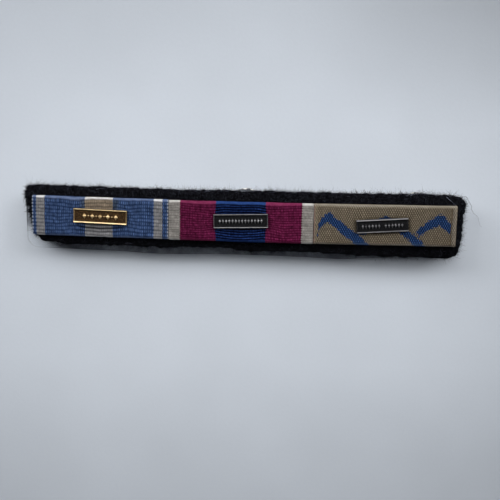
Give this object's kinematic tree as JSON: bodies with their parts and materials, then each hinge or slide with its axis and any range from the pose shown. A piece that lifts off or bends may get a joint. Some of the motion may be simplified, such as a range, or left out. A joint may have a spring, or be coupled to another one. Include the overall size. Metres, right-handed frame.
{
  "type": "ribbon bar",
  "caption": "Medal ribbon bar with striped and zigzag ribbons wound on flat carriers, each with a small struck clasp, on a black felt pad and clear backing plate with a brooch pin behind.",
  "frame": {"origin": "middle of the bar's outline, on the surface that it lies on", "axes": "+X along the bar to the right as it is read, +Y to its upper edge, +Z out of its face"},
  "size_m": [0.1172, 0.0186, 0.0092],
  "materials": {
    "pin_metal": "nickel plated, satin",
    "clear_plastic": "clear, glossy, cut edges",
    "felt": "wool felt with a short nap",
    "carrier_metal": "mill finish strip",
    "ribbon_blue_white": "ribbed, watered weave, pale blue and white stripes",
    "ribbon_crimson_blue": "ribbed weave, white, crimson and blue stripes",
    "ribbon_sand_zigzag": "fine twill, sand with a woven blue zigzag",
    "gilt": "gilt, rubbed on the rails and dark in the ground",
    "oxidised_silver": "silvered and oxidised, rubbed bright on the rails"
  },
  "bodies": {
    "root": {"brooch_pin": "pin_metal", "backing_plate": "clear_plastic", "felt_pad": "felt", "carrier_left": "carrier_metal", "carrier_middle": "carrier_metal", "carrier_right": "carrier_metal", "ribbon_left": "ribbon_blue_white", "ribbon_middle": "ribbon_crimson_blue", "ribbon_right": "ribbon_sand_zigzag", "clasp_left": "gilt", "clasp_middle": "oxidised_silver", "clasp_right": "oxidised_silver"}
  },
  "joints": []
}
